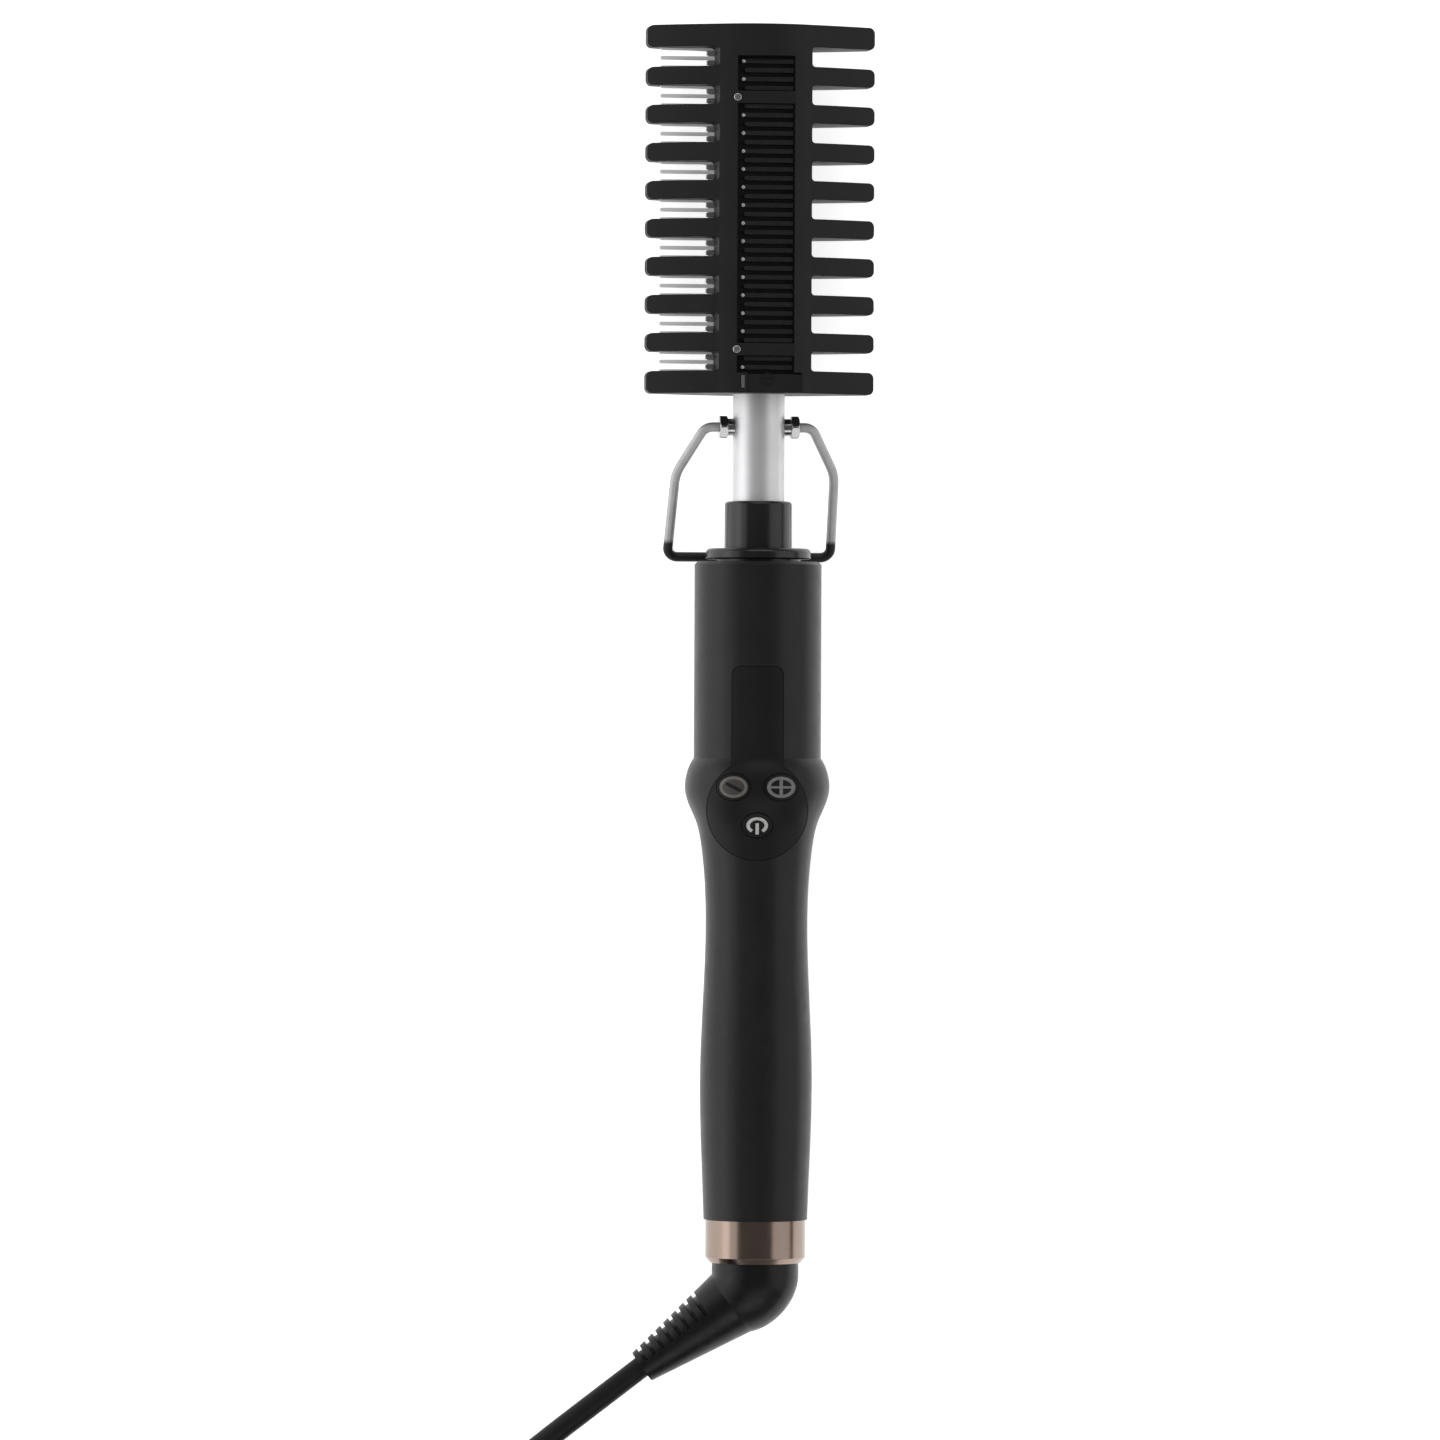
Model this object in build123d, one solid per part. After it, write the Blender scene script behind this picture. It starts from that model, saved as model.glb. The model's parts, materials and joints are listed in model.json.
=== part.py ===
from build123d import *
import math
import os

# A hot comb: a heated comb head with a wide-toothed guard, on a slim waisted handle with a
# control panel, a wire rest stand and a swivelling mains lead. Millimetres.
#
# Every piece is drawn about the long axis of the comb: x to the side, y along the axis, from
# the lower end of the end ring (y = 0) to the tip of the head, z out of the front. It is then
# moved so that the comb lies on its back, resting on the bulge of the handle and on the stand,
# with the origin below the middle of its length.

# --- handle ------------------------------------------------------------------------------
RING_LENGTH = 11.65         # metal ring at the cord end
RING_RADIUS = 13.5
RING_CHAMFER = 1.5
TAIL_LENGTH = 39.95         # from the ring to the swell of the grip
TAIL_RADIUS = 14.0
SWELL_RADIUS = 15.1
LOWER_GRIP_LENGTH = 43.2    # from the swell to the waist
WAIST_RADIUS = 13.75
UPPER_GRIP_LENGTH = 17.8    # from the waist to the foot of the bulge
BULGE_FOOT_RADIUS = 15.05
BULGE_FLANK = 6.2           # steepest part of the bulge, above its foot
BULGE_FLANK_RADIUS = 16.4
BULGE_FALL = 15.0           # from the foot of the bulge to its peak
BULGE_RADIUS = 19.5
BULGE_RISE = 8.5            # from the peak to the barrel
BARREL_LENGTH = 53.0
BARREL_RADIUS = 17.16
BARREL_EDGE = 0.8
SHELL_WALL = 2.0
FRONT_BOSS_RADIUS = 2.4     # bosses for the screws that join the shells
REAR_BOSS_RADIUS = 3.4
SHELL_SCREW_RADIUS = 1.2
SHELL_SCREW_HEAD = 2.5
SHELL_SCREW_REACH = 7.0     # in front of the axis
HANDLE_ROLL = -8.0          # degrees: the panel is turned this far from the face of the head

# --- collar, neck and head stations --------------------------------------------------------
COLLAR_GAP = 0.7            # shadow gap between the handle and the flange
FLANGE_THICKNESS = 2.9
FLANGE_RADIUS = 14.2
COLLAR_LENGTH = 12.7
COLLAR_RADIUS = 9.1
COLLAR_PLUG = 9.0           # part of the collar inside the handle
NECK_LENGTH = 28.9          # visible part of the tube
NECK_RADIUS = 7.0
NECK_WALL = 1.0
NECK_SEAT = 3.8             # how far the tube goes into the head
HEAD_LENGTH = 99.2

# --- control panel -------------------------------------------------------------------------
PANEL_RADIUS = 13.5         # round button field
PANEL_DROP = 5.4            # its centre below the peak of the bulge
STRIP_WIDTH = 13.6          # display strip
STRIP_LENGTH = 38.5         # from the centre of the button field
STRIP_CORNER = 2.2
PANEL_DEPTH = 1.2
PANEL_PROUD = 0.12
PANEL_GAP = 0.12
DISPLAY_WIDTH = 9.4
DISPLAY_LENGTH = 19.0
BUTTON_SPACING = 12.8       # between the two upper buttons
BUTTON_LONG = 4.5           # half axes of the two upper buttons
BUTTON_SHORT = 3.6
POWER_LONG = 4.1            # half axes of the lower button
POWER_SHORT = 3.3
BUTTON_PROUD = 0.5
BUTTON_GAP = 0.15
BUTTON_LIP = 0.9            # flange that keeps a button in its guide
BUTTON_LIP_HEIGHT = 1.0
BUTTON_TRAVEL = 0.5
GUIDE_WALL = 0.8

# --- circuit board -------------------------------------------------------------------------
BOARD_WIDTH = 17.6
BOARD_LENGTH = 66.0
BOARD_THICKNESS = 1.6
BOARD_HEIGHT = 5.0          # underside above the axis
POST_RADIUS = 1.7
POST_SPACING = 12.4
SWITCH_SIZE = 6.0
SWITCH_HEIGHT = 3.5
SWITCH_PLUNGER = 0.5

# --- swivel and boot -----------------------------------------------------------------------
SPIGOT_LENGTH = 6.6         # part of the shells inside the ring
SPIGOT_WALL = 1.7
FIT = 0.05                  # radial running fit
SEAT = 0.1                  # gap between fixed pieces
BOOT_RADIUS = 11.7
STEM_RADIUS = 7.5
BUSH_FLANGE = 1.5
CLIP_THICKNESS = 1.0
CLIP_WIDTH = 2.6
CONTACT_STEM = 4.6
CONTACT_WIDTH = 2.0
CONTACT_WALL = 1.0
CONTACT_PITCH = 5.0
BOOT_CREASE = (-12.6, -2.9)  # line on the inner side of the elbow that its sections turn about
BOOT_CREASE_GAP = 0.9
BOOT_BENDS = [(0.0, BOOT_RADIUS), (12.0, 11.55), (23.5, 11.1), (40.0, 10.25), (54.2, 9.3)]
BOOT_CONE = 29.3
BOOT_TIP_RADIUS = 4.6
BOOT_GROOVES = 8
GROOVE_WIDTH = 1.2
GROOVE_PITCH = 2.9
GROOVE_DEPTH = 1.1
GROOVE_START = 0.15         # share of the cone's radius where the slits begin

# --- stand ---------------------------------------------------------------------------------
STAND_WIRE = 1.3            # radius
STAND_HALF_WIDTH = 22.4
STAND_PIVOT = 20.0          # pivot above the collar
STAND_CLEARANCE = 0.25      # between the crossbar and the handle
STUD_RADIUS = 3.45
STUD_LENGTH = 2.3
STUD_NECK = 1.6

# --- head ----------------------------------------------------------------------------------
HEAD_HALF_WIDTH = 31.0
HEAD_CROWN = 14.5           # half thickness at the middle
ROOT_HALF_WIDTH = 12.6      # where the teeth start
ROOT_HEIGHT = 11.3
TIP_HEIGHT = 2.0
TEETH = 10
TOOTH_WIDTH = 4.95
END_TOOTH_WIDTH = 6.0
TOOTH_ROUNDING = 1.6
CAVITY_HALF_WIDTH = 9.8
CAVITY_HEIGHT = 11.3
WINDOW_LEFT = -7.9
WINDOW_RIGHT = 7.6
WINDOW_START = 5.4          # from the lower end of the head
WINDOW_BORDER = 8.6         # from its upper end to the tip of the head
COMB_SLOT = 0.45            # half thickness of the slot between the guards
COMB_THICKNESS = 0.75
COMB_TOOTH_WIDTH = 1.0
COMB_REACH = 27.2
COMB_PER_TOOTH = 4          # fine teeth to each wide one
NUB_REACH = 14.6
NUB_WIDTH = 1.1
CORE_HALF_WIDTH = 9.5
CORE_HEIGHT = 8.2
CAVITY_BORDER = 5.1         # from the upper end of the cavity to the tip of the head
CORE_END_GAP = 0.8          # room for the core to grow when hot
RIB_PLATE = 1.1
RIB_HEIGHT = 3.2
RIB_WIDTH = 1.15
RIB_PITCH = 2.42
TIP_BALL = 0.68
BRIDGE_WIDTH = 3.3
BRIDGE_RIBS = (2, 4)        # ribs below the lower bridge and above the upper one
SCREW_X = -7.9
HEATER_LEFT = -5.0          # heating plates inside the core
HEATER_RIGHT = 6.5
HEATER_INSET = 2.0          # from the ends of the core
HEATER_THICKNESS = 2.4
SENSOR_GAP = 2.0
CHANNEL_HALF_HEIGHT = 2.2
LEAD_RADIUS = 0.9           # conductors to the heating plates
FUSE_RADIUS = 1.7
GUARD_SCREW_RADIUS = 0.85
GUARD_SCREW_HEAD = 1.1
BASE_SCREW_HEAD = 1.5

# --- mains lead ----------------------------------------------------------------------------
CORD_RADIUS = 3.0
LEAD_POINTS = [             # from the boot to the coil, where it lies
    (-30.1, -195.0, 15.3),
    (-43.6, -205.5, 13.5),
    (-57.6, -216.9, 8.8),
    (-71.0, -228.7, 4.4),
    (-83.0, -240.9, 3.0),
    (-91.5, -251.2, 3.0),
]
COIL_CENTRE = (-61.4, -276.0)
COIL_OUTER = 42.0
COIL_INNER = 24.0
COIL_LAYERS = 4
TAIL_POINTS = [             # from the coil to the plug
    (-61.4, -315.0, 21.0),
    (-51.9, -315.0, 20.4),
    (-40.9, -315.0, 16.8),
    (-29.4, -315.0, 11.4),
    (-18.9, -315.0, 7.7),
    (-9.4, -315.0, 7.0),
]
PLUG_WIDTH = 35.0
PLUG_THICKNESS = 14.0
PLUG_LENGTH = 19.0
PLUG_TAPER = 6.0            # sloped shoulder at the back of the plug
RELIEF_LENGTH = 14.0
RELIEF_RADIUS = 5.5
PIN_RADIUS = 2.0
PIN_LENGTH = 19.0
PIN_SPACING = 18.6

# --- stations along the axis ---------------------------------------------------------------
SWELL = RING_LENGTH + TAIL_LENGTH
WAIST = SWELL + LOWER_GRIP_LENGTH
BULGE_FOOT = WAIST + UPPER_GRIP_LENGTH
BULGE = BULGE_FOOT + BULGE_FALL
BARREL = BULGE + BULGE_RISE
HANDLE_TOP = BARREL + BARREL_LENGTH
FLANGE = HANDLE_TOP + COLLAR_GAP
COLLAR = FLANGE + FLANGE_THICKNESS
NECK = COLLAR + COLLAR_LENGTH
HEAD = NECK + NECK_LENGTH
TOP = HEAD + HEAD_LENGTH
PIVOT = NECK + STAND_PIVOT
AXIS_HEIGHT = BULGE_RADIUS
BASE_LENGTH = WINDOW_START - 0.4
CAVITY_END = TOP - CAVITY_BORDER
CORE_START = HEAD + BASE_LENGTH + SEAT
CORE_END = CAVITY_END - CORE_END_GAP
WINDOW_LENGTH = HEAD_LENGTH - WINDOW_START - WINDOW_BORDER
RIB_COUNT = int(WINDOW_LENGTH / RIB_PITCH)
BRIDGES = (BRIDGE_RIBS[0], RIB_COUNT - 1 - BRIDGE_RIBS[1])
HEATER_LENGTH = (CORE_END - CORE_START - 2 * HEATER_INSET - SENSOR_GAP) / 2

BUTTON_ROW = BULGE + 0.8
PANEL_CENTRE = BULGE - PANEL_DROP
POWER_ROW = BULGE - 9.5
BOARD_END = HANDLE_TOP - COLLAR_PLUG - 12.5
BOARD_START = BOARD_END - BOARD_LENGTH
BOARD_TOP = BOARD_HEIGHT + BOARD_THICKNESS
LIP_BOTTOM = BOARD_TOP + SWITCH_HEIGHT + SWITCH_PLUNGER + BUTTON_TRAVEL + 0.2
LIP_TOP = LIP_BOTTOM + BUTTON_LIP_HEIGHT
GUIDE_END = LIP_TOP + 0.3

LYING = Location((0, -TOP / 2, AXIS_HEIGHT))
ROLLED = LYING * Location((0, 0, 0), (0, HANDLE_ROLL, 0))


# --- helpers -------------------------------------------------------------------------------
def block(x0, x1, y0, y1, z0, z1):
    centre = ((x0 + x1) / 2, (y0 + y1) / 2, (z0 + z1) / 2)
    return Pos(*centre) * Box(x1 - x0, y1 - y0, z1 - z0)


def rod(radius, y0, y1, x=0.0, z=0.0):
    """A cylinder along the axis of the comb."""
    return Pos(x, (y0 + y1) / 2, z) * Rot(90, 0, 0) * Cylinder(radius, y1 - y0)


def tube(outer, inner, y0, y1):
    return rod(outer, y0, y1) - rod(inner, y0 - 1, y1 + 1)


def post(radius, z0, z1, x=0.0, y=0.0):
    """A cylinder through the thickness of the comb."""
    return Pos(x, y, (z0 + z1) / 2) * Cylinder(radius, z1 - z0)


def oval(x, y, long, short, z0, z1):
    """An elliptical prism through the thickness of the comb."""
    return Pos(x, y, z0) * extrude(Ellipse(long, short), z1 - z0)


def half(front):
    """Everything in front of the axis, or behind it."""
    reach = 2 * BULGE_RADIUS
    z0, z1 = (0, reach) if front else (-reach, 0)
    return block(-reach, reach, -reach, TOP, z0, z1)


def turned(edges):
    """A solid of revolution about the axis, from its closed outline in the x-y plane."""
    return revolve(make_face(edges), Axis.Y, 360)


def handle_form(offset, y0, y1):
    """The outside of the handle moved in or out by an offset, from y0 to y1."""
    grip = Spline(
        (TAIL_RADIUS + offset, RING_LENGTH),
        (SWELL_RADIUS + offset, SWELL),
        (WAIST_RADIUS + offset, WAIST),
        (BULGE_FOOT_RADIUS + offset, BULGE_FOOT),
        (BULGE_FLANK_RADIUS + offset, BULGE_FOOT + BULGE_FLANK),
        (BULGE_RADIUS + offset, BULGE),
        (BARREL_RADIUS + offset, BARREL),
        tangents=[(0.03, 1), (-0.8, 1)],
    )
    outline = [
        Line((0, RING_LENGTH), (TAIL_RADIUS + offset, RING_LENGTH)),
        grip,
        Line((BARREL_RADIUS + offset, BARREL), (BARREL_RADIUS + offset, HANDLE_TOP)),
        Line((BARREL_RADIUS + offset, HANDLE_TOP), (0, HANDLE_TOP)),
        Line((0, HANDLE_TOP), (0, RING_LENGTH)),
    ]
    reach = 2 * BULGE_RADIUS
    return turned(outline) & block(-reach, reach, y0, y1, -reach, reach)


def group(solids):
    return Compound(children=[s.solid() if len(s.solids()) == 1 else s for s in solids])


def save(name, shape, place=LYING):
    export_step(place * shape, f"parts/{name}.step")


# --- handle --------------------------------------------------------------------------------
def panel_outline(gap):
    """Round button field with the display strip above it, seen from the front."""
    field = Pos(0, PANEL_CENTRE) * Circle(PANEL_RADIUS + gap)
    strip = Pos(0, PANEL_CENTRE + STRIP_LENGTH / 2) * RectangleRounded(
        STRIP_WIDTH + 2 * gap, STRIP_LENGTH + 2 * gap, STRIP_CORNER
    )
    return field + strip


def panel_blank(gap, low, high):
    """The layer of the handle's wall under the panel's outline."""
    prism = extrude(panel_outline(gap), 2 * BULGE_RADIUS)
    layer = handle_form(high, RING_LENGTH, HANDLE_TOP) - handle_form(low, RING_LENGTH, HANDLE_TOP)
    return layer & prism


def buttons():
    """Place and half axes of each button: name, x, y, long, short."""
    side = BUTTON_SPACING / 2
    return [
        ("minus_button", -side, BUTTON_ROW, BUTTON_LONG, BUTTON_SHORT),
        ("plus_button", side, BUTTON_ROW, BUTTON_LONG, BUTTON_SHORT),
        ("power_button", 0.0, POWER_ROW, POWER_LONG, POWER_SHORT),
    ]


def button_cap(x, y, long, short):
    cap = oval(x, y, long, short, LIP_BOTTOM, 2 * BULGE_RADIUS)
    cap &= handle_form(BUTTON_PROUD, RING_LENGTH, HANDLE_TOP)
    return cap + oval(x, y, long + BUTTON_LIP, short + BUTTON_LIP, LIP_BOTTOM, LIP_TOP)


def button_guides():
    sleeves = Part()
    for _, x, y, long, short in buttons():
        reach = BUTTON_GAP + GUIDE_WALL
        sleeves += oval(x, y, long + reach, short + reach, GUIDE_END, 2 * BULGE_RADIUS)
    return sleeves & handle_form(-SHELL_WALL / 2 - 0.3, RING_LENGTH, HANDLE_TOP)


def button_holes():
    holes = Part()
    for _, x, y, long, short in buttons():
        holes += oval(x, y, long + BUTTON_GAP, short + BUTTON_GAP, BOARD_TOP, 2 * BULGE_RADIUS)
    return holes


def display_opening(gap):
    y0 = BARREL + 1.0
    half_width = DISPLAY_WIDTH / 2 + gap
    return block(-half_width, half_width, y0 - gap, y0 + DISPLAY_LENGTH + gap,
                 BOARD_TOP, 2 * BULGE_RADIUS)


def board_posts(radius, z0):
    """The four posts that carry the circuit board, up to the front wall."""
    posts = Part()
    for y in (BOARD_START + 4.0, BOARD_END - 4.0):
        for x in (-POST_SPACING / 2, POST_SPACING / 2):
            posts += post(radius, z0, 2 * BULGE_RADIUS, x, y)
    return posts & handle_form(-SHELL_WALL / 2, RING_LENGTH, HANDLE_TOP)


def shell_screw_rows():
    return (WAIST - 22.0, BOARD_END + 6.5)


def whole_shell():
    """The hollow handle before it is split into front and rear shells."""
    body = handle_form(0, RING_LENGTH, HANDLE_TOP)
    body = chamfer(body.faces().sort_by(Axis.Y)[-1].edges(), BARREL_EDGE)
    body -= handle_form(-SHELL_WALL, RING_LENGTH + SHELL_WALL, HANDLE_TOP - SHELL_WALL)
    spigot_radius = RING_RADIUS - SPIGOT_WALL
    body += rod(spigot_radius, RING_LENGTH - SPIGOT_LENGTH, RING_LENGTH + SHELL_WALL)
    body -= rod(spigot_radius - SPIGOT_WALL, 0, RING_LENGTH + SHELL_WALL + 1)
    body -= rod(plug_neck_radius() + SEAT, HANDLE_TOP - SHELL_WALL - 1, HANDLE_TOP + 1)
    return body


def plug_neck_radius():
    """Waist of the collar, where the front wall of the handle grips it."""
    return COLLAR_RADIUS + 2.4


def screw_bosses(front):
    bosses = Part()
    for y in shell_screw_rows():
        if front:
            bosses += post(FRONT_BOSS_RADIUS, 0, 2 * BULGE_RADIUS, 0, y)
        else:
            bosses += post(REAR_BOSS_RADIUS, -2 * BULGE_RADIUS, 0, 0, y)
    return bosses & handle_form(-SHELL_WALL / 2, RING_LENGTH, HANDLE_TOP)


def handle_front_shell():
    shell = whole_shell() & half(True)
    shell += button_guides()
    shell += board_posts(POST_RADIUS, BOARD_TOP)
    shell += screw_bosses(True)
    shell -= panel_blank(PANEL_GAP, -PANEL_DEPTH - FIT, 2.0)
    shell -= button_holes()
    shell -= display_opening(SEAT)
    for y in shell_screw_rows():
        shell -= post(SHELL_SCREW_RADIUS + FIT, -1, SHELL_SCREW_REACH + 1, 0, y)
    shell -= board_screw_cores(0.8 + FIT)
    return shell


def handle_rear_shell():
    shell = whole_shell() & half(False)
    shell += screw_bosses(False)
    for y in shell_screw_rows():
        shell -= post(SHELL_SCREW_RADIUS + 0.3, -2 * BULGE_RADIUS, 1, 0, y)
        shell -= post(SHELL_SCREW_HEAD + 0.2, -2 * BULGE_RADIUS, -screw_seat(y), 0, y)
    return shell


def screw_seat(y):
    """Depth of the screw heads' seats behind the axis."""
    return (WAIST_RADIUS if y < BULGE else BARREL_RADIUS) - 5.0


def shell_screws():
    screws = []
    for y in shell_screw_rows():
        seat = screw_seat(y)
        screw = post(SHELL_SCREW_RADIUS, -seat, SHELL_SCREW_REACH, 0, y)
        screw += post(SHELL_SCREW_HEAD, -seat - 1.8, -seat, 0, y)
        slot = block(-2, 2, y - 0.3, y + 0.3, -seat - 2.8, -seat - 1.0)
        screws.append(screw - slot - Pos(0, y, 0) * Rot(0, 0, 90) * Pos(0, -y, 0) * slot)
    return group(screws)


def control_panel():
    panel = panel_blank(0, -PANEL_DEPTH, PANEL_PROUD)
    return panel - button_holes()


# --- circuit board -------------------------------------------------------------------------
def board_screw_cores(radius):
    cores = Part()
    for y in (BOARD_START + 4.0, BOARD_END - 4.0):
        for x in (-POST_SPACING / 2, POST_SPACING / 2):
            cores += post(radius, BOARD_HEIGHT - 1, BOARD_TOP + 3.0, x, y)
    return cores


def control_board():
    half_width = BOARD_WIDTH / 2
    board = block(-half_width, half_width, BOARD_START, BOARD_END, BOARD_HEIGHT, BOARD_TOP)
    board = fillet(board.edges().filter_by(Axis.Z), 1.0)
    return board - board_screw_cores(1.0)


def board_screws():
    screws = []
    for y in (BOARD_START + 4.0, BOARD_END - 4.0):
        for x in (-POST_SPACING / 2, POST_SPACING / 2):
            shaft = post(0.8, BOARD_HEIGHT - 0.1, BOARD_TOP + 2.8, x, y)
            screws.append(shaft + post(1.5, BOARD_HEIGHT - 1.2, BOARD_HEIGHT, x, y))
    return group(screws)


def display_module():
    y0 = BARREL + 1.0
    half_width = DISPLAY_WIDTH / 2
    top = math.sqrt((BARREL_RADIUS - PANEL_DEPTH) ** 2 - half_width**2) - SEAT
    return block(-half_width, half_width, y0, y0 + DISPLAY_LENGTH, BOARD_TOP, top)


def tact_switches():
    switches = []
    side = SWITCH_SIZE / 2
    for _, x, y, _, _ in buttons():
        body = block(x - side, x + side, y - side, y + side, BOARD_TOP, BOARD_TOP + SWITCH_HEIGHT)
        top = BOARD_TOP + SWITCH_HEIGHT + SWITCH_PLUNGER
        switches.append(body + post(1.6, BOARD_TOP, top, x, y))
    return group(switches)


def power_parts():
    """Capacitor, relay driver and connector under the board."""
    parts = [
        block(-4.0, 4.0, BOARD_START + 10, BOARD_START + 21, BOARD_HEIGHT - 5.0, BOARD_HEIGHT),
        block(-3.4, 3.4, BOARD_START + 24, BOARD_START + 33, BOARD_HEIGHT - 2.6, BOARD_HEIGHT),
        Pos(0, BOARD_START + 40, BOARD_HEIGHT - 3.5) * Cylinder(3.2, 7.0),
    ]
    return group(parts)


# --- ring, swivel and boot -----------------------------------------------------------------
def end_ring():
    ring = tube(RING_RADIUS, RING_RADIUS - SPIGOT_WALL + FIT, 0, RING_LENGTH - FIT)
    lower = ring.edges().filter_by(GeomType.CIRCLE).group_by(Axis.Y)[0].sort_by(SortBy.RADIUS)[-1]
    return chamfer(lower, RING_CHAMFER, RING_CHAMFER * 0.8)


def bush_outer():
    return RING_RADIUS - 2 * SPIGOT_WALL - FIT


def bush_top():
    return RING_LENGTH + SHELL_WALL + FIT + BUSH_FLANGE


def swivel_bush():
    bottom = RING_LENGTH - SPIGOT_LENGTH + SEAT
    bush = rod(bush_outer(), bottom, bush_top())
    bush += rod(bush_outer() + 1.2, bush_top() - BUSH_FLANGE, bush_top())
    return bush - rod(STEM_RADIUS + FIT, 0, bush_top() + 1)


def swivel_clip():
    y0 = bush_top() + SEAT
    clip = tube(STEM_RADIUS - 1.0 + FIT + CLIP_WIDTH, STEM_RADIUS - 1.0 + FIT, y0,
                y0 + CLIP_THICKNESS)
    return clip - block(-2.0, 2.0, y0 - 1, y0 + 2, 0, 2 * STEM_RADIUS)


def boot_plane(angle, radius):
    """The plane of a section of the elbow, centred on it."""
    turn = math.radians(angle)
    reach = BOOT_CREASE_GAP + radius
    x = BOOT_CREASE[0] + reach * math.cos(turn)
    y = BOOT_CREASE[1] - reach * math.sin(turn)
    return Plane(origin=(x, y, 0), x_dir=(0, 0, 1), z_dir=(-math.sin(turn), -math.cos(turn), 0))


def boot_grooves():
    """Slits across the cone, on the inner side of the elbow, that let it bend."""
    cone = boot_plane(*BOOT_BENDS[-1]).location
    grooves = Part()
    for i in range(BOOT_GROOVES):
        along = BOOT_CONE - 2.2 - i * GROOVE_PITCH
        radius = BOOT_BENDS[-1][1] + (BOOT_TIP_RADIUS - BOOT_BENDS[-1][1]) * along / BOOT_CONE
        ring = Cylinder(radius + 3, GROOVE_WIDTH) - Cylinder(radius - GROOVE_DEPTH, GROOVE_WIDTH)
        side = Pos(0, radius * GROOVE_START + 20, 0) * Box(40, 40, 4)
        grooves += cone * Pos(0, 0, along) * (ring & side)
    return grooves


def cord_boot():
    elbow = loft([boot_plane(*bend).location * Circle(bend[1]) for bend in BOOT_BENDS])
    cone = Cone(BOOT_BENDS[-1][1], BOOT_TIP_RADIUS, BOOT_CONE)
    cone = boot_plane(*BOOT_BENDS[-1]).location * Pos(0, 0, BOOT_CONE / 2) * cone
    boot = elbow + cone + rod(BOOT_RADIUS, BOOT_CREASE[1], RING_LENGTH - SPIGOT_LENGTH - 0.3)
    groove = bush_top() + SEAT / 2
    end = groove + CLIP_THICKNESS + SEAT
    boot += rod(STEM_RADIUS, 1, groove)
    boot += rod(STEM_RADIUS - 1.0, groove - 1, end)
    boot += rod(STEM_RADIUS - 0.3, end, end + 1.2)
    boot += rod(CONTACT_STEM, end, contact_row(1) + CONTACT_WIDTH + 1.5)
    return boot - boot_grooves()


def contact_row(i):
    return bush_top() + 6.0 + i * CONTACT_PITCH


def slip_rings():
    return group([
        tube(CONTACT_STEM + CONTACT_WALL, CONTACT_STEM + FIT, contact_row(i),
             contact_row(i) + CONTACT_WIDTH)
        for i in range(2)
    ])


def brush_holder():
    y0 = contact_row(0) - 1.0
    y1 = contact_row(1) + CONTACT_WIDTH + 1.0
    wall = handle_form(-SHELL_WALL - SEAT, RING_LENGTH, HANDLE_TOP)
    return block(-5.0, 5.0, y0, y1, -2 * TAIL_RADIUS, -brush_foot()) & wall


def brush_foot():
    return CONTACT_STEM + CONTACT_WALL + 1.8


def contact_brushes():
    brushes = []
    for i in range(2):
        y0 = contact_row(i) + 0.3
        brushes.append(block(-1.2, 1.2, y0, y0 + CONTACT_WIDTH - 0.6, -brush_foot(),
                             -CONTACT_STEM - CONTACT_WALL - SEAT))
    return group(brushes)


# --- collar, neck and stand ----------------------------------------------------------------
def neck_collar():
    plug_top = HANDLE_TOP - SHELL_WALL - SEAT
    collar = rod(BARREL_RADIUS - SHELL_WALL - SEAT, HANDLE_TOP - COLLAR_PLUG, plug_top)
    collar += rod(plug_neck_radius(), plug_top - 1, FLANGE + 1)
    flange = rod(FLANGE_RADIUS, FLANGE, COLLAR)
    flange = fillet(flange.edges().group_by(Axis.Y)[-1], 1.2)
    flange = chamfer(flange.edges().group_by(Axis.Y)[0], 0.3)
    barrel = rod(COLLAR_RADIUS, COLLAR - 1, NECK)
    barrel = fillet(barrel.edges().group_by(Axis.Y)[-1], 0.9)
    collar += flange + barrel
    collar -= rod(NECK_RADIUS + FIT, HANDLE_TOP - COLLAR_PLUG + 4.0, NECK + 1)
    return collar - rod(NECK_RADIUS - NECK_WALL, HANDLE_TOP - COLLAR_PLUG - 1, NECK)


def neck_tube():
    y0 = HANDLE_TOP - COLLAR_PLUG + 4.0 + SEAT
    return tube(NECK_RADIUS, NECK_RADIUS - NECK_WALL, y0, HEAD + NECK_SEAT)


def side_rod(radius, x0, x1):
    """A cylinder along the pivot of the stand."""
    return Pos((x0 + x1) / 2, PIVOT, 0) * Rot(0, 90, 0) * Cylinder(radius, abs(x1 - x0))


def stud_end():
    return NECK_RADIUS + STUD_NECK + STUD_LENGTH


def pivot_studs():
    studs = []
    hexagon = RegularPolygon(STUD_RADIUS, 6)
    for side in (-1, 1):
        inner = NECK_RADIUS + STUD_NECK
        nut = Pos(side * inner, PIVOT, 0) * Rot(0, side * 90, 0) * extrude(hexagon, STUD_LENGTH)
        dome = side_rod(STUD_RADIUS * 0.97, side * inner, side * stud_end())
        dome = fillet(dome.edges().filter_by(GeomType.CIRCLE), 0.6)
        stem = side_rod(STUD_RADIUS * 0.68, side * (NECK_RADIUS - 1), side * (inner + 0.5))
        stud = (nut & dome) + stem - rod(NECK_RADIUS + FIT, PIVOT - 9, PIVOT + 9)
        bore = side_rod(STAND_WIRE + FIT, side * (inner - 0.7), side * (stud_end() + 1))
        studs.append(stud - bore)
    return group(studs)


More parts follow.
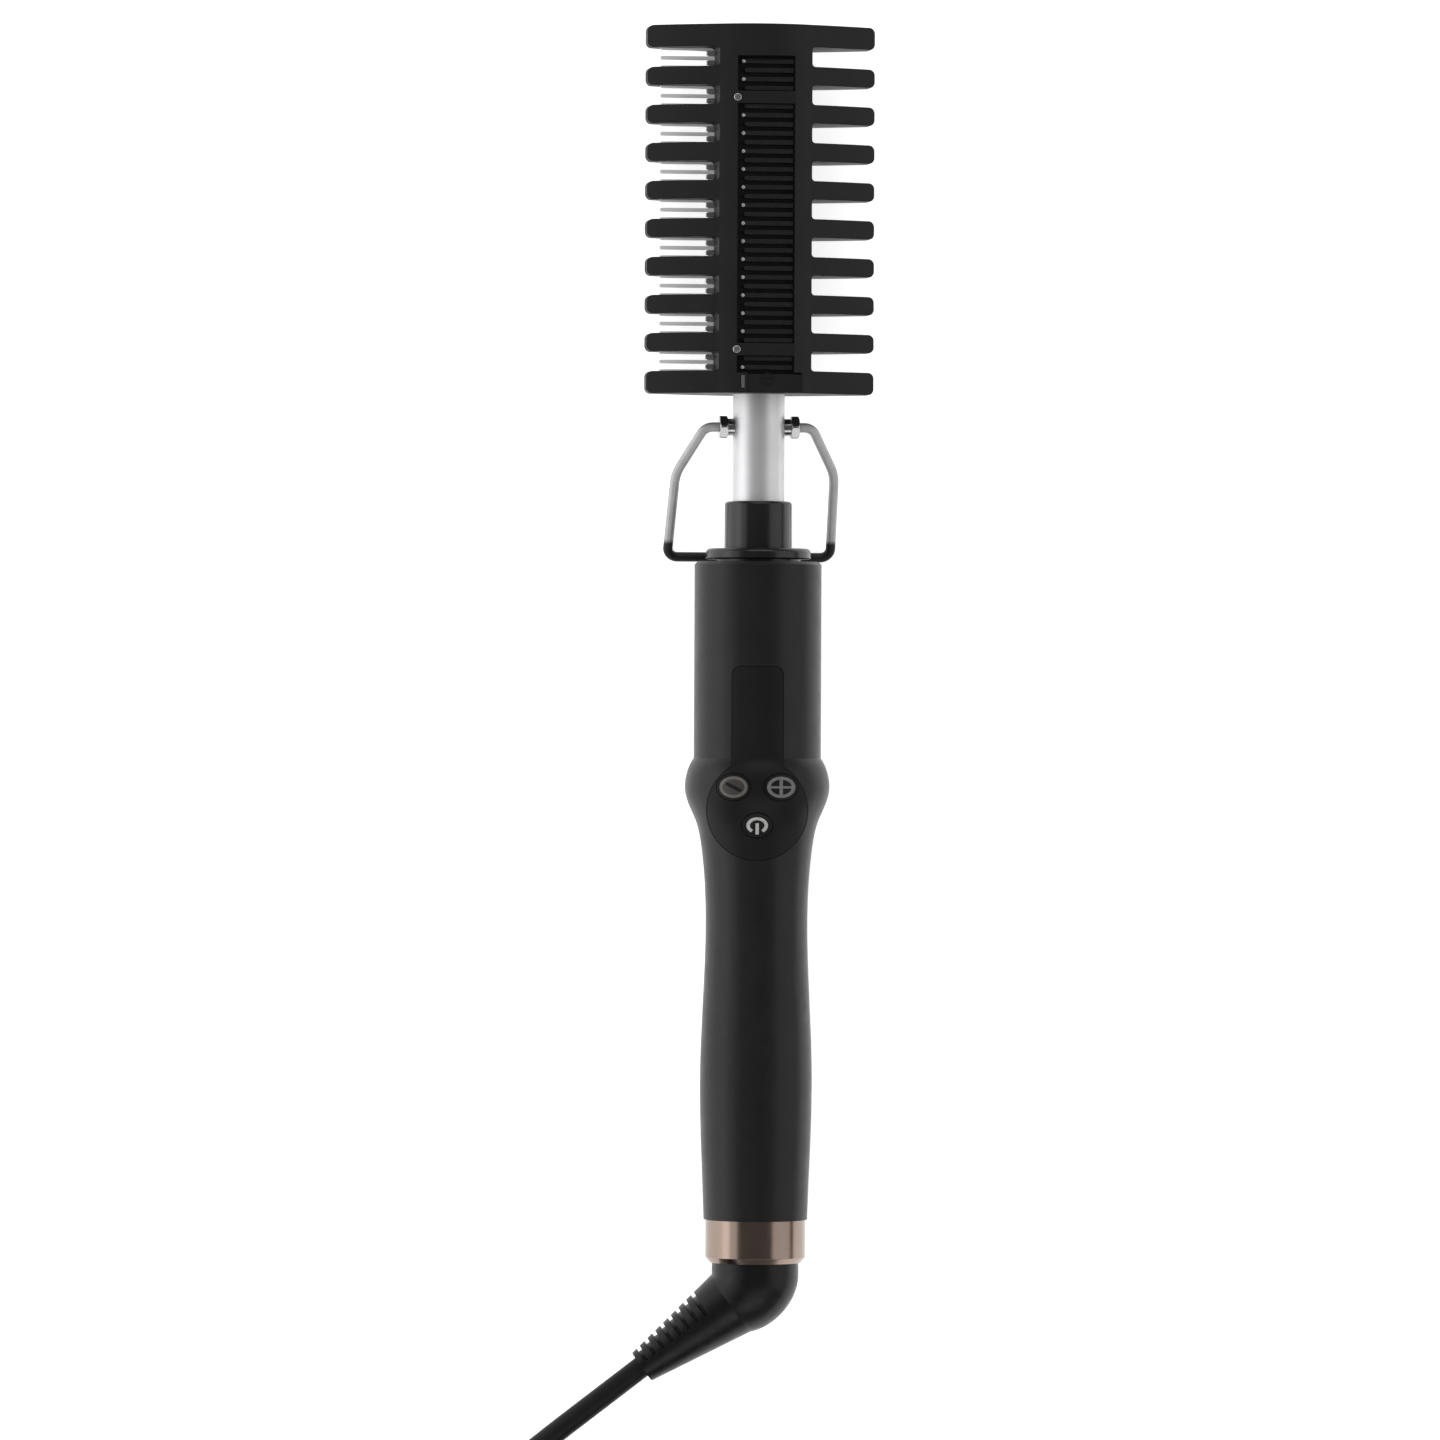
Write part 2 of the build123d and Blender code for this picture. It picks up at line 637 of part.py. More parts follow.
def stand_reach():
    """From the pivot to the crossbar: along the comb, and down to the surface it lies on."""
    along = PIVOT - HANDLE_TOP - STAND_WIRE - STAND_CLEARANCE
    return along, AXIS_HEIGHT - STAND_WIRE


def stand_wire():
    along, down = stand_reach()
    leg = math.hypot(along, down)
    shoulder = stud_end() + 3.7
    sketch = [
        (NECK_RADIUS + STUD_NECK - 0.5, 0.0),
        (shoulder, 0.0),
        (STAND_HALF_WIDTH - 0.7, leg * 0.36),
        (STAND_HALF_WIDTH, leg),
    ]
    sketch += [(-x, u) for x, u in reversed(sketch)]
    points = [(x, PIVOT - u * along / leg, -u * down / leg) for x, u in sketch]
    path = FilletPolyline(*points, radius=[3.4, 12.0, 2.7, 2.7, 12.0, 3.4])
    section = Plane(origin=path @ 0, z_dir=path % 0) * Circle(STAND_WIRE)
    return sweep(section, path=path)


# --- head ----------------------------------------------------------------------------------
def tooth_gap():
    return (HEAD_LENGTH - 2 * END_TOOTH_WIDTH - (TEETH - 2) * TOOTH_WIDTH) / (TEETH - 1)


def gap_centres():
    first = HEAD + END_TOOTH_WIDTH + tooth_gap() / 2
    return [first + i * (tooth_gap() + TOOTH_WIDTH) for i in range(TEETH - 1)]


def fine_pitch():
    return (tooth_gap() + TOOTH_WIDTH) / COMB_PER_TOOTH


def guard_section():
    """Half of the head's lens-shaped cross section, from the middle plane to the crown."""
    w, r = HEAD_HALF_WIDTH, ROOT_HALF_WIDTH
    slope_x = (w + r) / 2
    slope_z = (TIP_HEIGHT + ROOT_HEIGHT) / 2 + 0.5
    return make_face([
        Line((-w, 0), (w, 0)),
        Line((w, 0), (w, TIP_HEIGHT)),
        ThreePointArc((w, TIP_HEIGHT), (slope_x, slope_z), (r, ROOT_HEIGHT)),
        ThreePointArc((r, ROOT_HEIGHT), (0, HEAD_CROWN), (-r, ROOT_HEIGHT)),
        ThreePointArc((-r, ROOT_HEIGHT), (-slope_x, slope_z), (-w, TIP_HEIGHT)),
        Line((-w, TIP_HEIGHT), (-w, 0)),
    ])


def crown_height(x):
    """Height of the guard's crown at a distance from the middle."""
    rise = HEAD_CROWN - ROOT_HEIGHT
    radius = (ROOT_HALF_WIDTH**2 + rise**2) / (2 * rise)
    return HEAD_CROWN - radius + math.sqrt(radius**2 - x**2)


def rib_station(k):
    return HEAD + WINDOW_START + WINDOW_LENGTH / 2 + (k - (RIB_COUNT - 1) / 2) * RIB_PITCH


def guard_half():
    """The front guard as moulded, before the openings for the base block."""
    guard = Pos(0, TOP, 0) * Rot(90, 0, 0) * extrude(guard_section(), HEAD_LENGTH)
    cut_width = 2 * HEAD_HALF_WIDTH
    for y in gap_centres():
        for side in (-1, 1):
            gap = RectangleRounded(cut_width, tooth_gap(), 0.9)
            x = side * (ROOT_HALF_WIDTH + cut_width / 2)
            guard -= Pos(x, y, -1) * extrude(gap, 2 * HEAD_CROWN)
    tips = guard.edges().filter_by(Axis.Z).filter_by(lambda e: abs(e.center().X) > HEAD_HALF_WIDTH - 0.1)
    guard = fillet(tips, TOOTH_ROUNDING)
    half_cavity = CAVITY_HALF_WIDTH
    guard -= block(-half_cavity, half_cavity, HEAD - 1, CAVITY_END, -1, CAVITY_HEIGHT)
    window = block(WINDOW_LEFT, WINDOW_RIGHT, HEAD + WINDOW_START,
                   HEAD + WINDOW_START + WINDOW_LENGTH, 1, 2 * HEAD_CROWN)
    for k in BRIDGES:
        y = rib_station(k)
        window -= block(-half_cavity, half_cavity, y - BRIDGE_WIDTH / 2, y + BRIDGE_WIDTH / 2,
                        CAVITY_HEIGHT, crown_height(SCREW_X))
    guard -= window
    for k in BRIDGES:
        guard -= post(GUARD_SCREW_RADIUS + SEAT, 1, 2 * HEAD_CROWN, SCREW_X, rib_station(k))
        guard -= post(GUARD_SCREW_HEAD + 0.1, guard_screw_seat(), 2 * HEAD_CROWN, SCREW_X, rib_station(k))
    return guard


def guard_screw_seat():
    return CAVITY_HEIGHT + 0.8


def comb_slot_ends():
    reach = fine_pitch() * 1.6
    return gap_centres()[0] - reach, gap_centres()[-1] + reach


def guard_front():
    guard = guard_half()
    y0, y1 = comb_slot_ends()
    guard -= block(-HEAD_HALF_WIDTH - 1, -CAVITY_HALF_WIDTH + 1, y0, y1, -1, COMB_SLOT)
    guard -= block(-ROOT_HALF_WIDTH - 0.01, -CAVITY_HALF_WIDTH + 1, y0, y1, -1, strip_top() + SEAT)
    for y in nub_rows():
        guard -= nub(y, SEAT)
    x0, x1 = base_face()
    guard -= block(x0 - SEAT, x1 + SEAT, HEAD - 1, HEAD + WINDOW_START + SEAT, 1, 2 * HEAD_CROWN)
    return guard - tab_block(SEAT, 2 * HEAD_CROWN)


def guard_rear():
    guard = guard_half()
    y0, y1 = comb_slot_ends()
    guard -= block(-HEAD_HALF_WIDTH - 1, -CAVITY_HALF_WIDTH + 1, y0, y1, -1, COMB_SLOT)
    return mirror(guard, Plane.XY)


def strip_top():
    return COMB_SLOT + 1.2


def nub(y, gap):
    half_width = NUB_WIDTH / 2 + gap
    return block(-NUB_REACH - gap, -ROOT_HALF_WIDTH + 0.6, y - half_width, y + half_width,
                 -COMB_SLOT + SEAT - gap, strip_top() + gap)


def nub_rows():
    return [y + side * fine_pitch() for y in gap_centres() for side in (-0.5, 0.5)]


def comb_strip():
    """Insulating strip along the roots of the fine teeth, with two nubs in each space."""
    y0, y1 = comb_slot_ends()
    bar = block(-ROOT_HALF_WIDTH + SEAT, -CAVITY_HALF_WIDTH - 0.3, y0 + SEAT, y1 - SEAT,
                COMB_SLOT, strip_top())
    for y in nub_rows():
        bar += nub(y, 0)
    return bar


def fine_comb():
    """Metal comb in the middle plane, on one side of the head."""
    y0 = CORE_START + SEAT
    y1 = CORE_END - SEAT
    count = (TEETH - 2) * COMB_PER_TOOTH + 3
    spine_left = -ROOT_HALF_WIDTH + 1.0
    spine_right = -CORE_HALF_WIDTH + 2.9
    spine = block(spine_left, spine_right, y0, y1, -COMB_THICKNESS / 2, COMB_THICKNESS / 2)
    length = COMB_REACH + spine_left + 1.0
    for i in range(count):
        y = gap_centres()[0] + (i - 1) * fine_pitch()
        tooth = Pos(spine_left + 1.0 - length / 2, y, -COMB_THICKNESS / 2) * extrude(
            SlotOverall(length, COMB_TOOTH_WIDTH), COMB_THICKNESS
        )
        spine += tooth
    return spine


def base_face():
    """Sides of the base block where it fills the front guard."""
    return -5.0, CAVITY_HALF_WIDTH - SEAT


def head_base():
    side = CAVITY_HALF_WIDTH - SEAT
    top = CAVITY_HEIGHT - SEAT
    base = block(-side, side, HEAD, HEAD + BASE_LENGTH, -top, top)
    x0, x1 = base_face()
    base += block(x0, x1, HEAD, HEAD + BASE_LENGTH, 0, crown_height(x1) + 0.8)
    base -= rod(NECK_RADIUS + FIT, HEAD - 1, HEAD + NECK_SEAT + SEAT)
    base -= rod(NECK_RADIUS - NECK_WALL, HEAD - 1, TOP)
    return base - base_screw_form(0.7 + FIT, HEAD_CROWN)


def base_screw_station():
    return HEAD + BASE_LENGTH - 1.2


def base_screw_form(radius, z1):
    return post(radius, NECK_RADIUS + 1.5, z1, 0.3, base_screw_station())


def base_screw():
    seat = crown_height(base_face()[1]) + 0.8
    y = base_screw_station()
    screw = base_screw_form(0.7, seat + 0.2) + post(BASE_SCREW_HEAD, seat, seat + 0.7, 0.3, y)
    return screw - block(-1.0, 1.6, y - 0.25, y + 0.25, seat + 0.3, seat + 2)


def tab_block(gap, z1):
    return block(-6.7 - gap, -5.9 + gap, HEAD + 1.4 - gap, HEAD + 4.7 + gap, CAVITY_HEIGHT, z1)


def base_tab():
    return tab_block(0, crown_height(6.3) + 0.25)


def heater_core():
    """Extruded bar with a channel for the heating plates and a slot for the fine comb."""
    core = block(-CORE_HALF_WIDTH, CORE_HALF_WIDTH, CORE_START, CORE_END, -CORE_HEIGHT, CORE_HEIGHT)
    core = fillet(core.edges().filter_by(Axis.Y), 0.8)
    core -= block(HEATER_LEFT - 0.5, HEATER_RIGHT + 0.5, CORE_START - 1, CORE_END + 1,
                  -CHANNEL_HALF_HEIGHT, CHANNEL_HALF_HEIGHT)
    core -= block(-CORE_HALF_WIDTH - 1, -CORE_HALF_WIDTH + 3.1, CORE_START - 1, CORE_END + 1,
                  -COMB_THICKNESS / 2 - SEAT, COMB_THICKNESS / 2 + SEAT)
    for k in BRIDGES:
        for z0, z1 in ((-CORE_HEIGHT - 1, -1.5), (1.5, CORE_HEIGHT + 1)):
            core -= post(GUARD_SCREW_RADIUS + FIT, z0, z1, SCREW_X, rib_station(k))
    return core


def rib_plate():
    """Ribbed heating plate in the window of a guard, with a ball on every other rib."""
    z0 = CORE_HEIGHT + SEAT
    z1 = z0 + RIB_PLATE
    plate = block(-CORE_HALF_WIDTH, CORE_HALF_WIDTH, CORE_START, CORE_END, z0, z1)
    left = WINDOW_LEFT + 1.9
    right = WINDOW_RIGHT - 0.3
    for k in range(RIB_COUNT):
        if k in BRIDGES:
            continue
        y = rib_station(k)
        long_rib = k % 2 == 0
        start = left - 0.4 if long_rib else left
        rib = SlotOverall(2 * (right - start), RIB_WIDTH)
        form = Pos(right, y, z1) * extrude(rib, RIB_HEIGHT)
        plate += form & block(start - 1, right, y - 1, y + 1, z1, z1 + RIB_HEIGHT)
        if long_rib:
            plate += Pos(start + 0.1, y, z1 + RIB_HEIGHT - TIP_BALL * 0.6) * Sphere(TIP_BALL)
    for k in BRIDGES:
        plate -= post(GUARD_SCREW_RADIUS + SEAT, z0 - 1, z1 + 1, SCREW_X, rib_station(k))
    return plate


def guard_screws():
    screws = []
    seat = guard_screw_seat()
    for k in BRIDGES:
        y = rib_station(k)
        head = post(GUARD_SCREW_HEAD, seat, crown_height(SCREW_X) + 0.1, SCREW_X, y)
        head = fillet(head.edges().group_by(Axis.Z)[-1], 0.35)
        screw = post(GUARD_SCREW_RADIUS, 2.0, seat + 0.2, SCREW_X, y) + head
        slot = block(SCREW_X - 0.7, SCREW_X + 0.7, y - 0.18, y + 0.18, seat + 0.7, HEAD_CROWN)
        screw -= slot
        screws += [screw, mirror(screw, Plane.XY)]
    return group(screws)


def heater_start():
    return CORE_START + HEATER_INSET


def heating_plates():
    """Two ceramic plates in a row, with the temperature sensor between them."""
    half_thickness = HEATER_THICKNESS / 2
    plates = []
    for i in range(2):
        y0 = heater_start() + i * (HEATER_LENGTH + SENSOR_GAP)
        plates.append(block(HEATER_LEFT, HEATER_RIGHT, y0, y0 + HEATER_LENGTH,
                            -half_thickness, half_thickness))
    return group(plates)


def heater_films():
    """Insulation between the heating plates and the core, on both sides."""
    y0 = heater_start()
    y1 = y0 + 2 * HEATER_LENGTH + SENSOR_GAP
    low = HEATER_THICKNESS / 2 + FIT
    high = CHANNEL_HALF_HEIGHT - FIT
    return group([
        block(HEATER_LEFT - 0.3, HEATER_RIGHT + 0.3, y0, y1, z0, z1)
        for z0, z1 in ((low, high), (-high, -low))
    ])


def temperature_sensor():
    return Pos(0, heater_start() + HEATER_LENGTH + SENSOR_GAP / 2, 0) * Sphere(SENSOR_GAP / 2 - SEAT)


def thermal_fuse():
    z = FUSE_RADIUS + 4 * SEAT - (NECK_RADIUS - NECK_WALL)
    fuse = rod(FUSE_RADIUS, PIVOT - 5, PIVOT + 5, 0, z)
    return fuse + rod(0.5, PIVOT - 8, PIVOT + 8, 0, z)


def heater_leads():
    """The two conductors from the heating plates to the circuit board."""
    leads = []
    spacing = FRONT_BOSS_RADIUS + LEAD_RADIUS + 2 * SEAT
    board_side = BOARD_HEIGHT - LEAD_RADIUS - 2 * SEAT
    for x in (-spacing, spacing):
        points = [
            (x, heater_start() - 2 * SEAT, 0),
            (x, BOARD_END + 12.5, 0),
            (x, BOARD_END + 1.0, board_side),
            (x, BOARD_END - 8.5, board_side),
        ]
        path = FilletPolyline(*points, radius=8.0)
        section = Plane(origin=path @ 0, z_dir=path % 0) * Circle(LEAD_RADIUS)
        leads.append(sweep(section, path=path))
    return group(leads)


# --- mains lead ----------------------------------------------------------------------------
def bend_radii(points):
    radii = []
    for before, corner, after in zip(points, points[1:], points[2:]):
        run_in = Vector(*corner) - Vector(*before)
        run_out = Vector(*after) - Vector(*corner)
        half_turn = math.radians(run_in.get_angle(run_out) / 2)
        radii.append(0.45 * min(run_in.length, run_out.length) / math.tan(half_turn))
    return radii


def cord_tube(points):
    path = FilletPolyline(*points, radius=bend_radii(points))
    section = Plane(origin=path @ 0, z_dir=path % 0) * Circle(CORD_RADIUS)
    lead = sweep(section, path=path)
    ratio = lead.volume / (math.pi * CORD_RADIUS**2 * path.length)
    print("bend radii", [round(r) for r in bend_radii(points)], "volume ratio", round(ratio, 4))
    return lead


def cord_coil():
    height = 2 * CORD_RADIUS * COIL_LAYERS
    coil = Cylinder(COIL_OUTER, height) - Cylinder(COIL_INNER, height)
    coil = fillet(coil.edges().filter_by(GeomType.CIRCLE), CORD_RADIUS - 0.2)
    return Pos(*COIL_CENTRE, height / 2) * coil


def plug_start():
    return Vector(*TAIL_POINTS[-1])


def plug_body():
    """Flat two-pin plug lying on its wide side, with a tapered sleeve for the cord."""
    start = plug_start()
    half = PLUG_WIDTH / 2
    shoulder = RELIEF_LENGTH + PLUG_TAPER
    end = RELIEF_LENGTH + PLUG_LENGTH
    outline = Polyline(
        (RELIEF_LENGTH, -RELIEF_RADIUS - 3), (shoulder, -half), (end - 3.5, -half),
        (end, -half + 5), (end, half - 5), (end - 3.5, half), (shoulder, half),
        (RELIEF_LENGTH, RELIEF_RADIUS + 3), close=True,
    )
    body = Pos(0, 0, -PLUG_THICKNESS / 2) * extrude(make_face(outline), PLUG_THICKNESS)
    body = fillet(body.edges().group_by(Axis.Z)[-1] + body.edges().group_by(Axis.Z)[0], 1.8)
    sleeve = Cone(CORD_RADIUS + 0.5, RELIEF_RADIUS, RELIEF_LENGTH + 1)
    body += Pos((RELIEF_LENGTH + 1) / 2, 0, 0) * Rot(0, 90, 0) * sleeve
    return Pos(start.X, start.Y, start.Z) * body


def plug_pins():
    start = plug_start()
    x = start.X + RELIEF_LENGTH + PLUG_LENGTH
    pins = []
    for side in (-1, 1):
        pin = Rot(0, 90, 0) * Cylinder(PIN_RADIUS, PIN_LENGTH)
        pin = fillet(pin.edges().filter_by(GeomType.CIRCLE).sort_by(Axis.X)[-1], 1.2)
        y = start.Y + side * PIN_SPACING / 2
        pins.append(Pos(x + PIN_LENGTH / 2, y, start.Z) * pin)
    return group(pins)


# --- files ---------------------------------------------------------------------------------
os.makedirs("parts", exist_ok=True)

save("handle_front_shell", handle_front_shell(), ROLLED)
save("handle_rear_shell", handle_rear_shell(), ROLLED)
save("shell_screws", shell_screws(), ROLLED)
save("control_panel", control_panel(), ROLLED)
for name, *place in buttons():
    save(name, button_cap(*place), ROLLED)
save("control_board", control_board(), ROLLED)
save("board_screws", board_screws(), ROLLED)
save("display_module", display_module(), ROLLED)
save("tact_switches", tact_switches(), ROLLED)
save("power_parts", power_parts(), ROLLED)
save("swivel_bush", swivel_bush(), ROLLED)
save("swivel_clip", swivel_clip(), ROLLED)
save("cord_boot", cord_boot(), ROLLED)
save("slip_rings", slip_rings(), ROLLED)
save("brush_holder", brush_holder(), ROLLED)
save("contact_brushes", contact_brushes(), ROLLED)
save("heater_leads", heater_leads(), ROLLED)

save("end_ring", end_ring())
save("neck_collar", neck_collar())
save("neck_tube", neck_tube())
save("pivot_studs", pivot_studs())
save("stand_wire", stand_wire())

plate = rib_plate()
save("guard_front", guard_front())
save("guard_rear", guard_rear())
save("guard_screws", guard_screws())
save("head_base", head_base())
save("base_screw", base_screw())
save("base_tab", base_tab())
save("comb_strip", comb_strip())
save("fine_comb", fine_comb())
save("heater_core", heater_core())
save("front_plate", plate)
save("rear_plate", mirror(plate, Plane.XY))
save("heating_plates", heating_plates())
save("heater_films", heater_films())
save("temperature_sensor", temperature_sensor())
save("thermal_fuse", thermal_fuse())

IN_PLACE = Location((0, 0, 0))
save("cord", cord_tube(LEAD_POINTS), IN_PLACE)
save("cord_coil", cord_coil(), IN_PLACE)
save("cord_tail", cord_tube(TAIL_POINTS), IN_PLACE)
save("plug_body", plug_body(), IN_PLACE)
save("plug_pins", plug_pins(), IN_PLACE)
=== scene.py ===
import json
import math

import bmesh
import bpy
from mathutils import Matrix, Vector
from mathutils.bvhtree import BVHTree


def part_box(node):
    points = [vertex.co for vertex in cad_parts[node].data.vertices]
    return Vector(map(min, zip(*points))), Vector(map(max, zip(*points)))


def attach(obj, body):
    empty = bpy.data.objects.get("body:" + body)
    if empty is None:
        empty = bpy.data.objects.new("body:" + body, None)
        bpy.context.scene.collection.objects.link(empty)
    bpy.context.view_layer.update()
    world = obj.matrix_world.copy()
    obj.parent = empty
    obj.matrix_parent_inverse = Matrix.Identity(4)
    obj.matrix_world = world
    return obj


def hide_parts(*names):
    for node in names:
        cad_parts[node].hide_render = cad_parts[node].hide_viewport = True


# The dressed hot comb, in metres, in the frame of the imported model: +Y to the tip of the head,
# +Z out of the face of the head, lying on z = 0.

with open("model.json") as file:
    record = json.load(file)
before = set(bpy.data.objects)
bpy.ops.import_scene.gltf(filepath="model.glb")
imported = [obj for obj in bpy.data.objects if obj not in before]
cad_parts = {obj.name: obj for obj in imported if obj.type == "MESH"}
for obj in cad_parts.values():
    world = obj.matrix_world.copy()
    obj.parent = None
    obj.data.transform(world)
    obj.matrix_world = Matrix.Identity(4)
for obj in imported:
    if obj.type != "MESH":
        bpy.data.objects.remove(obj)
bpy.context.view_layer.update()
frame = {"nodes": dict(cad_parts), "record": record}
NODES = frame["nodes"]

MM = 0.001

# --- places taken from the frame ----------------------------------------------------------------
RING_LOW, RING_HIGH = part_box("end_ring")
AXIS_Z = (RING_LOW.z + RING_HIGH.z) / 2
HEAD_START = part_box("guard_front")[0].y
STAND_END = min(v.co.y for v in NODES["stand_wire"].data.vertices)

ROLL = math.radians(-8.0)           # the panel against the face of the head
PANEL_X = Vector((math.cos(ROLL), 0, -math.sin(ROLL)))
PANEL_OUT = Vector((math.sin(ROLL), 0, math.cos(ROLL)))

# --- camera -------------------------------------------------------------------------------------
VIEW_WIDTH = 388.8 * MM             # across the picture, at the comb's axis
VIEW_DISTANCE = 2.6
VIEW_CENTRE_SIDE = -10.1 * MM       # middle of the picture, from the comb's axis
VIEW_CENTRE_Y = -20.38 * MM
VIEW_LEAN = math.radians(0.25)      # the comb leans this far to the right
SENSOR = 36.0
CLIP_START = 0.05
CLIP_END = 20.0


def make_camera():
    across = PANEL_X * math.cos(VIEW_LEAN) + Vector((0, math.sin(VIEW_LEAN), 0))
    up = PANEL_OUT.cross(across)
    centre = Vector((0, VIEW_CENTRE_Y, AXIS_Z)) + PANEL_X * VIEW_CENTRE_SIDE
    data = bpy.data.cameras.new("camera")
    data.sensor_width = SENSOR
    data.lens = SENSOR * VIEW_DISTANCE / VIEW_WIDTH
    data.clip_start = CLIP_START
    data.clip_end = CLIP_END
    camera = bpy.data.objects.new("camera", data)
    camera.matrix_world = Matrix.Translation(centre + PANEL_OUT * VIEW_DISTANCE) @ Matrix(
        (across, up, PANEL_OUT)
    ).transposed().to_4x4()
    bpy.context.scene.collection.objects.link(camera)
    bpy.context.scene.camera = camera


make_camera()

# --- mains lead ---------------------------------------------------------------------------------
CORD_DIAMETER = 6.0 * MM
CORD_FACETS = 6                     # bevel resolution
CORD_STEPS = 8                      # of the spline, between two of its points
CORD_ORDER = 3
LEAD_POINTS = [                     # from the boot to the coil, in millimetres
    (-30.1, -195.0, 15.3),
    (-43.6, -205.5, 13.5),
    (-57.6, -216.9, 8.8),
    (-71.0, -228.7, 4.4),
    (-83.0, -240.9, 3.0),
]
TAIL_POINTS = [                     # from the coil to the plug
    (-51.9, -315.0, 20.4),
    (-40.9, -315.0, 16.8),
    (-29.4, -315.0, 11.4),
    (-18.9, -315.0, 7.7),
    (-9.4, -315.0, 7.0),
]
COIL_CENTRE = (-61.4, -276.0)
COIL_TURNS = 8                      # whole turns, before the way from the entry to the exit
COIL_ENTRY = 140.4                  # degrees
COIL_EXIT = 270.0
COIL_INNER = 27.0                   # radii of the innermost and outermost turns
COIL_OUTER = 39.0
COIL_LAYERS = 4
COIL_CLIMB = 66.0                   # degrees from one layer up to the next
COIL_POINTS = 20                    # to a turn
COIL_PULL = 0.75                    # how far the spline cuts inside its points


def coil_points():
    """Four flat spirals on top of each other, inwards and outwards in turn."""
    swept = COIL_TURNS * 360.0 + (COIL_EXIT - COIL_ENTRY)
    spiral = (swept - (COIL_LAYERS - 1) * COIL_CLIMB) / COIL_LAYERS
    height = CORD_DIAMETER / MM
    widen = 1 / math.cos(math.radians(180 / COIL_POINTS)) ** COIL_PULL
    count = round(swept / 360 * COIL_POINTS)
    points = []
    for i in range(count + 1):
        angle = swept * i / count
        layer = min(int(angle // (spiral + COIL_CLIMB)), COIL_LAYERS - 1)
        within = angle - layer * (spiral + COIL_CLIMB)
        inward = min(within / spiral, 1.0)
        climb = max(within - spiral, 0.0) / COIL_CLIMB
        share = inward if layer % 2 == 0 else 1 - inward
        radius = (COIL_OUTER + (COIL_INNER - COIL_OUTER) * share) * widen
        turn = math.radians(COIL_ENTRY + angle)
        points.append((
            COIL_CENTRE[0] + radius * math.cos(turn),
            COIL_CENTRE[1] + radius * math.sin(turn),
            height * (layer + 0.5 + climb),
        ))
    return points


def make_cord():
    points = LEAD_POINTS + coil_points() + TAIL_POINTS
    data = bpy.data.curves.new("mains_cord", "CURVE")
    data.dimensions = "3D"
    data.bevel_depth = 1.0          # times the radius of each point
    data.bevel_resolution = CORD_FACETS
    data.resolution_u = CORD_STEPS
    data.use_fill_caps = True
    spline = data.splines.new("NURBS")
    spline.points.add(len(points) - 1)
    for place, point in zip(spline.points, points):
        place.co = (point[0] * MM, point[1] * MM, point[2] * MM, 1.0)
        place.radius = CORD_DIAMETER / 2
    spline.order_u = CORD_ORDER
    spline.use_endpoint_u = True
    cord = bpy.data.objects.new("mains_cord", data)
    bpy.context.scene.collection.objects.link(cord)
    return cord


CORD = make_cord()
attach(CORD, "swivel")
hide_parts("cord", "cord_coil", "cord_tail")


def curve_length(obj):
    """Length of the cord's own line."""
    bare = obj.data.copy()
    bare.bevel_depth = 0
    holder = bpy.data.objects.new("measure", bare)
    mesh = bpy.data.meshes.new_from_object(holder)
    places = [v.co for v in mesh.vertices]
    total = sum((b - a).length for a, b in zip(places, places[1:]))
    bpy.data.objects.remove(holder)
    return total


CORD_LENGTH = round(curve_length(CORD), 2)


# --- materials ----------------------------------------------------------------------------------
# Scales of noise are in features to a metre, heights and roundings in metres.
BEVEL_SAMPLES = 6
NOISE_LOW = 0.3                     # the band of a noise that carries its change of look
NOISE_HIGH = 0.7


